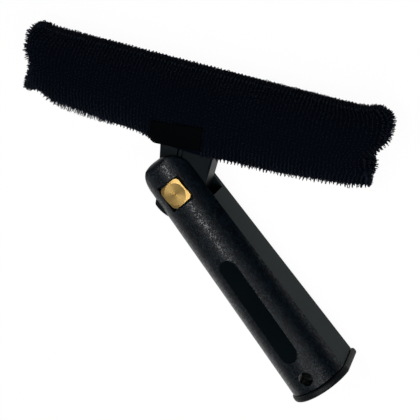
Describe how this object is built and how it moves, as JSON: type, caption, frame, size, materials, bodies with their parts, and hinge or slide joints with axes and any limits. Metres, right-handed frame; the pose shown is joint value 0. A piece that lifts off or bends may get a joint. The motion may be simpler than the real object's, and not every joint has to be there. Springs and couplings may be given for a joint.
{
  "type": "window scrubber",
  "caption": "Swivelling T-bar window washer: a black pile sleeve on a cross bar, hinged by a brass pivot nut to a tapered hand grip with a pole socket.",
  "frame": {"origin": "on the pole socket's axis, where the flared mouth meets the straight bore", "axes": "+Y from the socket's mouth up the handle to the swivel, +Z along the swivel axis out of the front of the handle, so the tool lies on its back"},
  "size_m": [0.1951, 0.3062, 0.0464],
  "materials": {
    "grained_plastic": "fine leather grain, satin",
    "smooth_plastic": "smooth, semi-gloss",
    "socket_plastic": "fine grain, satin",
    "gloss_badge": "gloss inlay, bare",
    "brass": "turned face",
    "black_steel": "black oxide",
    "screw_steel": "plated",
    "friction_rubber": "matt",
    "neck_plastic": "smooth, satin",
    "bush_plastic": "self-lubricating",
    "bar_aluminium": "drawn",
    "pile": "dense looped pile",
    "tape": "woven tape"
  },
  "bodies": {
    "handle": {"front_grip_shell": "grained_plastic", "rear_body_shell": "smooth_plastic", "shell_screws": "screw_steel", "pole_socket": "socket_plastic", "badge_plate": "gloss_badge", "swivel_nut": "brass", "front_friction_disc": "friction_rubber", "rear_friction_disc": "friction_rubber", "spring_washer": "screw_steel"},
    "head": {"swivel_neck": "neck_plastic", "pivot_bush": "bush_plastic", "bar_tube": "bar_aluminium", "bar_cap_left": "neck_plastic", "bar_cap_right": "neck_plastic", "bar_screws": "screw_steel", "pile_sleeve": "pile", "sleeve_tag": "tape", "hook_strips": "tape", "loop_strips": "tape"},
    "tension_screw": {"tension_screw": "black_steel"}
  },
  "joints": [
    {"name": "head_swivel", "type": "hinge", "parent": "handle", "child": "head", "pos_m": [0, 0.154, 0], "axis": [0, 0, 1], "range_deg": [-32, 128]},
    {"name": "tension_screw_turn", "type": "hinge", "parent": "handle", "child": "tension_screw", "pos_m": [0, 0.154, 0], "axis": [0, 0, -1], "range_deg": [-15, 180]}
  ]
}
